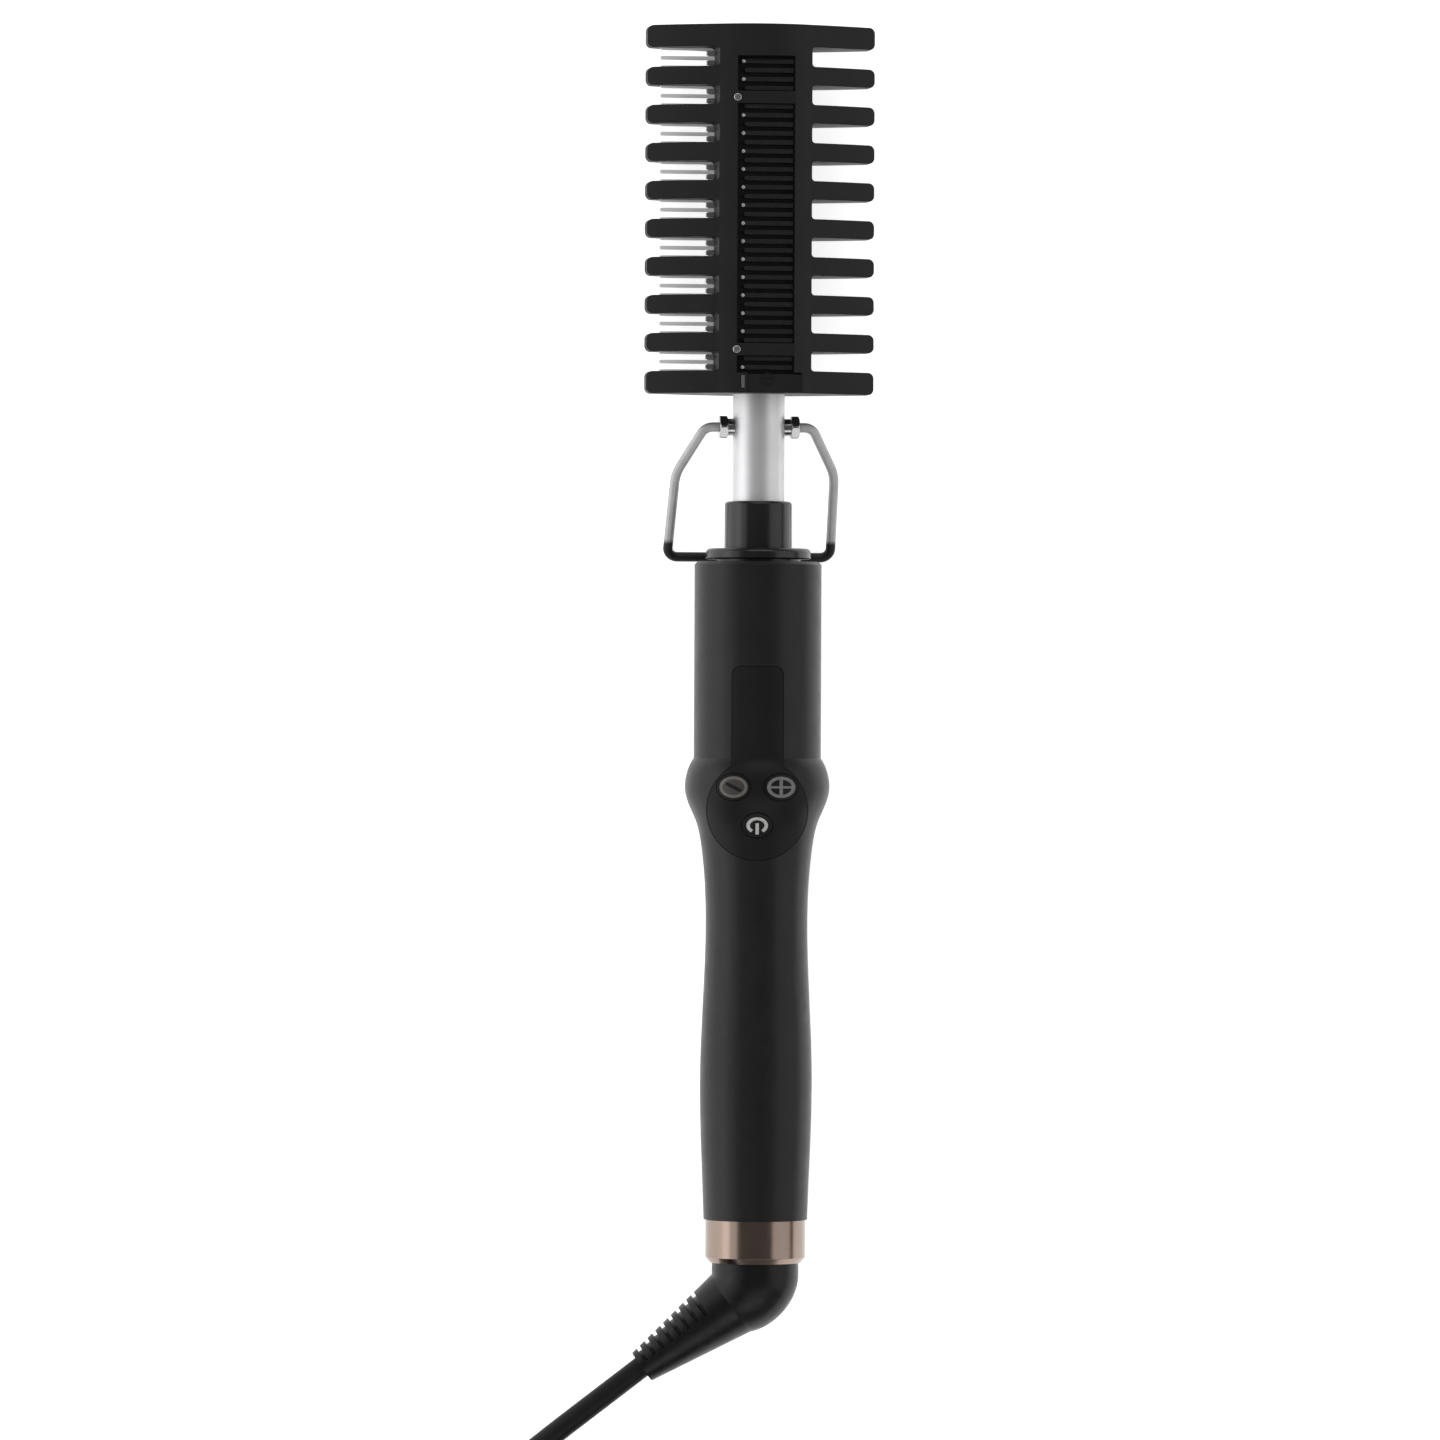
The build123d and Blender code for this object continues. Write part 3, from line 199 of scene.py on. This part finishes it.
class Surface:
    """A material under construction: a Principled shader and the nodes that feed it."""

    def __init__(self, name, colour, roughness, metallic=0.0, specular=0.5):
        self.material = bpy.data.materials.new(name)
        self.material.use_nodes = True
        self.nodes = self.material.node_tree.nodes
        self.shader = self.nodes["Principled BSDF"]
        self.colour = (*colour, 1.0)
        self.set(self.shader, {"Base Color": self.colour, "Roughness": roughness,
                               "Metallic": metallic, "Specular IOR Level": specular})
        coordinates = self.nodes.new("ShaderNodeTexCoord")
        self.object_space = coordinates.outputs["Object"]

    @staticmethod
    def set(node, values):
        for socket, value in values.items():
            node.inputs[socket].default_value = value

    def link(self, source, target):
        self.material.node_tree.links.new(source, target)

    def node(self, kind, **values):
        made = self.nodes.new(kind)
        self.set(made, values)
        return made

    def stretched(self, scale):
        """Object coordinates multiplied by a scale for each axis."""
        mapping = self.node("ShaderNodeMapping", Scale=scale)
        self.link(self.object_space, mapping.inputs["Vector"])
        return mapping.outputs["Vector"]

    def noise(self, scale, detail=3.0, roughness=0.55, stretch=(1, 1, 1)):
        made = self.node("ShaderNodeTexNoise", Scale=scale, Detail=detail, Roughness=roughness)
        self.link(self.stretched(stretch), made.inputs["Vector"])
        return made.outputs["Fac"]

    def ramp(self, source, low, high, to_low, to_high):
        made = self.node("ShaderNodeMapRange", **{"From Min": low, "From Max": high,
                                                 "To Min": to_low, "To Max": to_high})
        self.link(source, made.inputs["Value"])
        return made.outputs["Result"]

    def mix(self, factor, first, second):
        """Colour between two others, each a constant or a socket."""
        made = self.nodes.new("ShaderNodeMix")
        made.data_type = "RGBA"
        first_colour, second_colour = (s for s in made.inputs if s.type == "RGBA")
        self.link(factor, made.inputs["Factor"])
        for socket, value in ((first_colour, first), (second_colour, second)):
            if isinstance(value, tuple):
                socket.default_value = value
            else:
                self.link(value, socket)
        return next(s for s in made.outputs if s.type == "RGBA")

    def vary_colour(self, source, darker, lighter, low=NOISE_LOW, high=NOISE_HIGH):
        """Colour between a darker and a lighter share of the base colour."""
        dark = tuple(c * darker for c in self.colour[:3]) + (1.0,)
        light = tuple(min(c * lighter, 1.0) for c in self.colour[:3]) + (1.0,)
        colour = self.mix(self.ramp(source, low, high, 0, 1), dark, light)
        self.link(colour, self.shader.inputs["Base Color"])
        return colour

    def vary_roughness(self, source, low, high):
        self.link(self.ramp(source, NOISE_LOW, NOISE_HIGH, low, high),
                  self.shader.inputs["Roughness"])

    def bump(self, height, strength, distance, rounding=0.0):
        made = self.node("ShaderNodeBump", Strength=strength, Distance=distance)
        self.link(height, made.inputs["Height"])
        if rounding:
            bevel = self.node("ShaderNodeBevel", Radius=rounding)
            bevel.samples = BEVEL_SAMPLES
            self.link(bevel.outputs["Normal"], made.inputs["Normal"])
        self.link(made.outputs["Normal"], self.shader.inputs["Normal"])


def satin_plastic(name, colour, roughness=0.42, specular=0.5, rounding=0.25 * MM):
    """Moulded plastic with a fine eroded texture."""
    made = Surface(name, colour, roughness, specular=specular)
    made.vary_colour(made.noise(scale=90, detail=4), darker=0.9, lighter=1.12)
    made.vary_roughness(made.noise(scale=260, detail=4), roughness - 0.03, roughness + 0.04)
    made.bump(made.noise(scale=5200, detail=2), 0.12, 0.05 * MM, rounding)
    return made.material


def gloss_plastic(name, colour, roughness=0.12, specular=0.5):
    """Polished plastic with faint rubbing marks."""
    made = Surface(name, colour, roughness, specular=specular)
    rubbed = made.noise(scale=900, detail=5, roughness=0.65, stretch=(1, 0.2, 1))
    made.vary_colour(made.noise(scale=60, detail=3), darker=0.92, lighter=1.1)
    made.vary_roughness(rubbed, roughness - 0.02, roughness + 0.06)
    made.bump(made.noise(scale=300, detail=2), 0.03, 0.05 * MM, rounding=0.15 * MM)
    return made.material


def drawn_metal(name, colour, roughness=0.22, grain=0.08, stretch=(1, 0.02, 1), metallic=1.0):
    """Metal with fine lines along the way it was drawn or brushed; less metallic is frosted."""
    made = Surface(name, colour, roughness, metallic)
    lines = made.noise(scale=9000, detail=3, roughness=0.6, stretch=stretch)
    made.vary_colour(made.noise(scale=70, detail=3), darker=0.94, lighter=1.04)
    made.vary_roughness(lines, roughness - 0.05, roughness + 0.07)
    made.bump(lines, grain, 0.02 * MM, rounding=0.1 * MM)
    return made.material


SHADE_REACH = 5.4 * MM                # of the stand's end painted near black as shade, along the comb
SHADE_BLEND = 0.6 * MM                # to each side of where the painted shade ends


def shade_tipped_wire(name, colour, shade_colour, roughness=0.5):
    """Frosted wire with its crossbar painted near black as shade."""
    made = Surface(name, colour, roughness, metallic=0.55)
    shade_end = STAND_END + SHADE_REACH
    along = made.nodes.new("ShaderNodeSeparateXYZ")
    made.link(made.object_space, along.inputs["Vector"])
    # painted shade: near the crossbar the wire's colour turns to the near-black shade colour
    unshaded = made.ramp(along.outputs["Y"], shade_end - SHADE_BLEND, shade_end + SHADE_BLEND, 0, 1)
    metal = made.vary_colour(made.noise(scale=300, detail=3), darker=0.92, lighter=1.06)
    made.link(made.mix(unshaded, (*shade_colour, 1.0), metal), made.shader.inputs["Base Color"])
    lines = made.noise(scale=9000, detail=3, roughness=0.6)
    made.vary_roughness(lines, roughness - 0.05, roughness + 0.07)
    made.bump(lines, 0.08, 0.02 * MM, rounding=0.1 * MM)
    return made.material


def soft_rubber(name, colour, roughness=0.55, specular=0.15):
    """Dull elastomer with a fine bloom."""
    made = Surface(name, colour, roughness, specular=specular)
    made.vary_colour(made.noise(scale=140, detail=5), darker=0.85, lighter=1.2)
    made.vary_roughness(made.noise(scale=420, detail=4), roughness - 0.06, roughness + 0.08)
    made.bump(made.noise(scale=3800, detail=3), 0.14, 0.06 * MM, rounding=0.2 * MM)
    return made.material


def coated_ribs(name, colour, roughness=0.34):
    """Baked ceramic coat with a light speckle."""
    made = Surface(name, colour, roughness, specular=0.25)
    speck = made.noise(scale=2600, detail=2)
    made.vary_colour(speck, darker=0.8, lighter=1.5, low=0.35, high=0.75)
    made.vary_roughness(made.noise(scale=500, detail=3), roughness - 0.06, roughness + 0.08)
    made.bump(speck, 0.1, 0.03 * MM, rounding=0.2 * MM)
    return made.material


def printed_ink(name, colour, roughness=0.45):
    """Screen-printed ink, a little uneven."""
    made = Surface(name, colour, roughness)
    made.vary_colour(made.noise(scale=1400, detail=4), darker=0.85, lighter=1.15)
    made.vary_roughness(made.noise(scale=2200, detail=3), roughness - 0.07, roughness + 0.07)
    return made.material


def circuit_board(name, colour):
    """Lacquered board with copper traces under the lacquer."""
    made = Surface(name, colour, 0.3)
    traces = made.noise(scale=700, detail=1, roughness=0.4, stretch=(1, 0.25, 1))
    made.vary_colour(traces, darker=0.7, lighter=1.5, low=0.45, high=0.55)
    made.bump(made.noise(scale=2500, detail=2), 0.08, 0.03 * MM)
    return made.material


ACROSS = (0.02, 1, 1)               # lines along X instead of along the comb

FINISHES = {                        # for each slot: maker, what it is given, and its options
    "shell_black": (satin_plastic, (0.0096, 0.0096, 0.0099), 0.36, {"specular": 0.27}),
    "guard_black": (satin_plastic, (0.0112, 0.0112, 0.0115), 0.46,
                    {"specular": 0.2, "rounding": 0.4 * MM}),
    "panel_black": (gloss_plastic, (0.0095, 0.0093, 0.009), 0.38, {"specular": 0.14}),
    "button_grey": (gloss_plastic, (0.0095, 0.0093, 0.009), 0.38, {"specular": 0.14}),
    "display_dark": (gloss_plastic, (0.006, 0.006, 0.007), 0.1, {}),
    "board_green": (circuit_board, (0.03, 0.12, 0.05), {}),
    "part_dark": (satin_plastic, (0.03, 0.03, 0.033), 0.5, {}),
    "screw_steel": (drawn_metal, (0.5, 0.5, 0.51), 0.3, {}),
    "bright_chrome": (drawn_metal, (0.73, 0.73, 0.74), 0.46, {"metallic": 0.85}),
    # the second colour is painted shade on the stand's crossbar
    "wire_chrome": (shade_tipped_wire, (0.5, 0.5, 0.51), (0.02, 0.02, 0.02), {}),
    "collar_black": (gloss_plastic, (0.0075, 0.0075, 0.0075), 0.22, {}),
    "nylon_white": (satin_plastic, (0.62, 0.6, 0.54), 0.45, {}),
    "spring_steel": (drawn_metal, (0.45, 0.45, 0.47), 0.3, {}),
    "contact_brass": (drawn_metal, (0.72, 0.52, 0.22), 0.25, {}),
    "boot_rubber": (soft_rubber, (0.0042, 0.0042, 0.0042), 0.33, {"specular": 0.27}),
    "cord_black": (soft_rubber, (0.0085, 0.0085, 0.0085), 0.42, {}),
    "plug_black": (satin_plastic, (0.014, 0.014, 0.0145), 0.45, {}),
    "pin_nickel": (drawn_metal, (0.68, 0.66, 0.6), 0.18, {}),
    "core_aluminium": (drawn_metal, (0.55, 0.55, 0.56), 0.35, {}),
    "rib_coated": (coated_ribs, (0.0115, 0.0115, 0.012), {}),
    "strip_grey": (satin_plastic, (0.19, 0.19, 0.19), 0.5, {}),
    "comb_steel": (drawn_metal, (0.95, 0.94, 0.92), 0.45, {"stretch": ACROSS, "metallic": 0.15}),
    "ptc_ceramic": (satin_plastic, (0.2, 0.19, 0.18), 0.7, {}),
    "film_amber": (gloss_plastic, (0.4, 0.18, 0.03), 0.25, {}),
    "sensor_glass": (gloss_plastic, (0.3, 0.2, 0.12), 0.1, {}),
    "lead_red": (soft_rubber, (0.35, 0.02, 0.015), 0.5, {}),
}
MATERIALS = {name: maker(name, *given, **options)
             for name, (maker, *given, options) in FINISHES.items()}
OWN_MATERIAL = {                    # nodes that look unlike the rest of their slot
    "end_ring": drawn_metal("ring_bronze", (0.31, 0.24, 0.2), 0.19, grain=0.04),
    "base_screw": drawn_metal("screw_black", (0.05, 0.05, 0.052), 0.4),
    "pivot_studs": drawn_metal("stud_chrome", (0.5, 0.5, 0.51), 0.16),
}


def dress_nodes():
    slots = {s["node"]: s["material_slot"] for s in frame["record"]["subparts"]}
    for name, obj in NODES.items():
        material = OWN_MATERIAL.get(name, MATERIALS[slots[name]])
        obj.data.materials.clear()
        obj.data.materials.append(material)


dress_nodes()
CORD.data.materials.append(MATERIALS["cord_black"])


# --- printed marks ------------------------------------------------------------------------------
PRINT_LIFT = 0.03 * MM
PRINT_STEPS = 5                     # rows of faces across a band
OUTLINE_POINTS = 72
ARC_POINTS = 60
BAR_POINTS = 12
PROBE_START = 0.04                  # from the comb's axis, outside the panel
MINUS_INK = printed_ink("mark_warm", (0.1, 0.089, 0.077))
MINUS_SHADE = printed_ink("mark_shade", (0.03, 0.0275, 0.024))
PLUS_INK = printed_ink("mark_cool", (0.135, 0.135, 0.135))
POWER_INK = printed_ink("mark_white", (0.4, 0.4, 0.39))

# Half lengths and half widths of the marks' outlines, in millimetres.
MINUS_RING = ((2.95, 2.1), (3.75, 2.9))
MINUS_FACE = (2.9, 2.05)
MINUS_SLASH = (2.3, 0.5)
MINUS_TILT = -27.0                  # degrees
PLUS_RING = ((2.85, 2.05), (3.8, 2.85))
PLUS_UPRIGHT = (2.1, 0.45)
PLUS_ARM = (1.2, 0.3)
PLUS_ARM_PLACE = 1.65               # of each arm's middle, from the middle of the mark
POWER_RING = ((1.95, 1.45), (2.9, 2.2))
POWER_START = -55.0                 # degrees, with the gap at the bottom
POWER_SWEEP = 290.0
POWER_BAR = (1.5, 0.45)
POWER_BAR_PLACE = -0.9


def panel_surface(node):
    """Function that lays a point of the panel, seen from the front, on the surface of a node."""
    mesh = NODES[node].data
    tree = BVHTree.FromPolygons([v.co for v in mesh.vertices],
                                [tuple(p.vertices) for p in mesh.polygons])

    def lay(x, y):
        start = Vector((0, y, AXIS_Z)) + PANEL_X * x + PANEL_OUT * PROBE_START
        hit = tree.ray_cast(start, -PANEL_OUT)[0]
        return hit + PANEL_OUT * PRINT_LIFT

    return lay


def ellipse(long, short, count=OUTLINE_POINTS, start=0.0, sweep=360.0):
    closed = sweep >= 360.0
    steps = count if closed else count + 1
    angles = [math.radians(start + sweep * i / count) for i in range(steps)]
    return [(long * math.cos(a), short * math.sin(a)) for a in angles]


def power_arc(half_sizes):
    return ellipse(*half_sizes, ARC_POINTS, POWER_START, POWER_SWEEP)


def rounded(value):
    """Square root that keeps the sign, which swells an ellipse towards its box."""
    return math.copysign(abs(value) ** 0.5, value)


def slot_outline(half_length, half_width, tilt):
    """Rounded slot, with its points at even angles about its middle."""
    turn = math.radians(tilt)
    points = []
    for i in range(OUTLINE_POINTS):
        angle = 2 * math.pi * i / OUTLINE_POINTS
        x = half_length * rounded(math.cos(angle))
        y = half_width * rounded(math.sin(angle))
        points.append((x * math.cos(turn) - y * math.sin(turn),
                       x * math.sin(turn) + y * math.cos(turn)))
    return points


def bar_sides(half_length, half_width):
    """The two long sides of a bar that lies across the panel."""
    xs = [-half_length + 2 * half_length * i / BAR_POINTS for i in range(BAR_POINTS + 1)]
    return [(x, -half_width) for x in xs], [(x, half_width) for x in xs]


def upright(sides):
    return [[(y, x) for x, y in side] for side in sides]


def shifted(sides, dx, dy):
    return [[(x + dx, y + dy) for x, y in side] for side in sides]


def print_band(name, body, lay, height, inner, outer, material, centre=0.0, closed=True):
    """A printed band between two outlines, laid on the surface at a place of the panel."""
    built = bmesh.new()
    rows = []
    for s in range(PRINT_STEPS + 1):
        t = s / PRINT_STEPS
        row = []
        for (x0, y0), (x1, y1) in zip(inner, outer):
            x = (x0 + (x1 - x0) * t) * MM + centre
            y = (y0 + (y1 - y0) * t) * MM + height
            row.append(built.verts.new(lay(x, y)))
        rows.append(row)
    count = len(inner)
    for low, high in zip(rows, rows[1:]):
        for i in range(count if closed else count - 1):
            j = (i + 1) % count
            built.faces.new((low[i], low[j], high[j], high[i]))
    mesh = bpy.data.meshes.new(name)
    bmesh.ops.recalc_face_normals(built, faces=built.faces)
    built.to_mesh(mesh)
    built.free()
    mesh.materials.append(material)
    obj = bpy.data.objects.new(name, mesh)
    bpy.context.scene.collection.objects.link(obj)
    if mesh.polygons[0].normal.dot(PANEL_OUT) < 0:
        mesh.flip_normals()
    thick = obj.modifiers.new("thickness", "SOLIDIFY")
    thick.thickness = 2 * PRINT_LIFT
    thick.offset = -1.0
    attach(obj, body)


def middle_y(node):
    low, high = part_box(node)
    return ((low + high) / 2).y


SIDE_BUTTON = 6.4 * MM              # of the two upper buttons from the middle


def print_minus():
    lay, y = panel_surface("minus_button"), middle_y("minus_button")
    inner, outer = MINUS_RING
    print_band("minus_ring", "minus", lay, y, ellipse(*inner), ellipse(*outer), MINUS_INK,
               -SIDE_BUTTON)
    print_band("minus_face", "minus", lay, y, slot_outline(*MINUS_SLASH, MINUS_TILT),
               ellipse(*MINUS_FACE), MINUS_SHADE, -SIDE_BUTTON)


def print_plus():
    lay, y = panel_surface("plus_button"), middle_y("plus_button")
    inner, outer = PLUS_RING
    print_band("plus_ring", "plus", lay, y, ellipse(*inner), ellipse(*outer), PLUS_INK,
               SIDE_BUTTON)
    print_band("plus_upright", "plus", lay, y, *upright(bar_sides(*PLUS_UPRIGHT)), PLUS_INK,
               SIDE_BUTTON, closed=False)
    for side in (-1, 1):
        sides = shifted(bar_sides(*PLUS_ARM), side * PLUS_ARM_PLACE, 0)
        print_band(f"plus_arm_{side + 2}", "plus", lay, y, *sides, PLUS_INK, SIDE_BUTTON,
                   closed=False)


def print_power():
    lay, y = panel_surface("power_button"), middle_y("power_button")
    inner, outer = POWER_RING
    print_band("power_arc", "power", lay, y, power_arc(inner), power_arc(outer), POWER_INK,
               closed=False)
    sides = shifted(upright(bar_sides(*POWER_BAR)), 0, POWER_BAR_PLACE)
    print_band("power_bar", "power", lay, y, *sides, POWER_INK, closed=False)


print_minus()
print_plus()
print_power()


# --- beads on the ribs --------------------------------------------------------------------------
BEAD_RADIUS = 0.72 * MM
BEAD_SEGMENTS = 16
BEAD_RINGS = 10
BEAD_X = -6.3 * MM
BEAD_HEIGHT = 12.19 * MM            # above the axis
RIB_PITCH = 2.42 * MM
RIB_COUNT = 35
BRIDGE_RIBS = (2, 30)               # these lie under the guard's bridges and have no bead
WINDOW_MIDDLE = 48.0 * MM           # from the lower end of the head


def make_highlight_beads(name, side):
    """Beads at the ends of every other rib, on one face of the head, in bright steel as a painted
    highlight on the rounded rib ends.
    """
    built = bmesh.new()
    for k in range(0, RIB_COUNT, 2):
        if k in BRIDGE_RIBS:
            continue
        y = HEAD_START + WINDOW_MIDDLE + (k - (RIB_COUNT - 1) / 2) * RIB_PITCH
        place = Matrix.Translation((BEAD_X, y, AXIS_Z + side * BEAD_HEIGHT))
        bmesh.ops.create_uvsphere(built, u_segments=BEAD_SEGMENTS, v_segments=BEAD_RINGS,
                                  radius=BEAD_RADIUS, matrix=place)
    mesh = bpy.data.meshes.new(name)
    built.to_mesh(mesh)
    built.free()
    mesh.shade_smooth()
    # painted highlight: the rounded rib ends are given bright steel where the coated ribs catch
    # the light
    mesh.materials.append(MATERIALS["screw_steel"])
    obj = bpy.data.objects.new(name, mesh)
    bpy.context.scene.collection.objects.link(obj)
    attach(obj, "body")


make_highlight_beads("front_beads", 1)
make_highlight_beads("rear_beads", -1)


# --- studio -------------------------------------------------------------------------------------
FLOOR_SIZE = 4.0                    # from the middle to an edge
FLOOR_DROP = 0.0002                 # below the comb, so that nothing lies in its plane
FLOOR_WHITE = 0.8
FLOOR_ROUGHNESS = 0.9
FLOOR_GLOW = 0.75                   # beside the comb, where the lamps light the floor too
LIT_NEAR = 0.5                      # from the middle, where that glow starts to rise to 1
LIT_FAR = 1.6
WORLD_LEVEL = 0.12                  # for all but the camera, which sees 1

LENGTHWAYS = (0, 1, 0)
CROSSWAYS = (1, 0, 0)
LAMPS = (                           # name, place, way, length and width in metres, watts
    ("left_low_box", (-1.23, 0.0, 0.24), LENGTHWAYS, 1.7, 0.44, 4.4),
    ("left_high_box", (-1.08, 0.0, 0.65), LENGTHWAYS, 1.7, 0.44, 2.1),
    ("right_box", (1.02, 0.0, 0.72), LENGTHWAYS, 1.7, 1.1, 5.0),
    ("head_box", (0.0, 1.2, 1.1), CROSSWAYS, 1.4, 0.7, 5.5),
    ("tail_box", (0.0, -1.2, 1.1), CROSSWAYS, 1.4, 0.7, 4.0),
    ("soft_fill", (-0.6, 0.0, 1.35), LENGTHWAYS, 1.1, 0.8, 8.5),
)
NO_HIGHLIGHT = ("soft_fill",)       # only fills the gaps of the teeth


def white_to_camera(nodes, links):
    """1 where the ray comes from the camera or off glossy or through clear surfaces."""
    path = nodes.new("ShaderNodeLightPath")
    total = path.outputs["Is Camera Ray"]
    for name in ("Is Glossy Ray", "Is Transmission Ray"):
        made = nodes.new("ShaderNodeMath")
        made.operation = "MAXIMUM"
        links.new(total, made.inputs[0])
        links.new(path.outputs[name], made.inputs[1])
        total = made.outputs[0]
    return total


def make_floor():
    mesh = bpy.data.meshes.new("floor")
    corners = [(-FLOOR_SIZE, -FLOOR_SIZE, 0), (FLOOR_SIZE, -FLOOR_SIZE, 0),
               (FLOOR_SIZE, FLOOR_SIZE, 0), (-FLOOR_SIZE, FLOOR_SIZE, 0)]
    mesh.from_pydata(corners, [], [(0, 1, 2, 3)])
    floor = bpy.data.objects.new("floor", mesh)
    floor.location = (0, 0, -FLOOR_DROP)
    bpy.context.scene.collection.objects.link(floor)
    material = bpy.data.materials.new("floor_white")
    material.use_nodes = True
    nodes, links = material.node_tree.nodes, material.node_tree.links
    shader = nodes["Principled BSDF"]
    shader.inputs["Base Color"].default_value = (FLOOR_WHITE, FLOOR_WHITE, FLOOR_WHITE, 1)
    shader.inputs["Roughness"].default_value = FLOOR_ROUGHNESS
    shader.inputs["Specular IOR Level"].default_value = 0.0
    shader.inputs["Emission Color"].default_value = (1, 1, 1, 1)
    place = nodes.new("ShaderNodeTexCoord")
    away = nodes.new("ShaderNodeVectorMath")
    away.operation = "LENGTH"
    links.new(place.outputs["Object"], away.inputs[0])
    glow = nodes.new("ShaderNodeMapRange")
    glow.interpolation_type = "SMOOTHSTEP"
    for socket, value in (("From Min", LIT_NEAR), ("From Max", LIT_FAR),
                          ("To Min", FLOOR_GLOW), ("To Max", 1.0)):
        glow.inputs[socket].default_value = value
    links.new(away.outputs["Value"], glow.inputs["Value"])
    share = nodes.new("ShaderNodeMath")
    share.operation = "MULTIPLY"
    links.new(white_to_camera(nodes, links), share.inputs[0])
    links.new(glow.outputs["Result"], share.inputs[1])
    links.new(share.outputs[0], shader.inputs["Emission Strength"])
    mesh.materials.append(material)


def make_world():
    world = bpy.data.worlds.new("studio")
    bpy.context.scene.world = world
    world.use_nodes = True
    nodes, links = world.node_tree.nodes, world.node_tree.links
    background = nodes["Background"]
    background.inputs["Color"].default_value = (1, 1, 1, 1)
    path = nodes.new("ShaderNodeLightPath")
    level = nodes.new("ShaderNodeMapRange")
    level.inputs["To Min"].default_value = WORLD_LEVEL
    level.inputs["To Max"].default_value = 1.0
    links.new(path.outputs["Is Camera Ray"], level.inputs["Value"])
    links.new(level.outputs["Result"], background.inputs["Strength"])


def softbox(name, place, along, length, width, power):
    """Rectangular light that faces the comb, with its length along a direction."""
    data = bpy.data.lights.new(name, "AREA")
    data.shape = "RECTANGLE"
    data.size = length
    data.size_y = width
    data.energy = power
    lamp = bpy.data.objects.new(name, data)
    away = (Vector(place) - Vector((0, 0, AXIS_Z))).normalized()
    side = away.cross(Vector(along)).normalized()
    lamp.matrix_world = Matrix.Translation(place) @ Matrix(
        (side.cross(away), side, away)
    ).transposed().to_4x4()
    lamp.visible_glossy = name not in NO_HIGHLIGHT
    bpy.context.scene.collection.objects.link(lamp)


make_floor()
make_world()
for lamp in LAMPS:
    softbox(*lamp)
bpy.context.scene.view_settings.view_transform = "Standard"
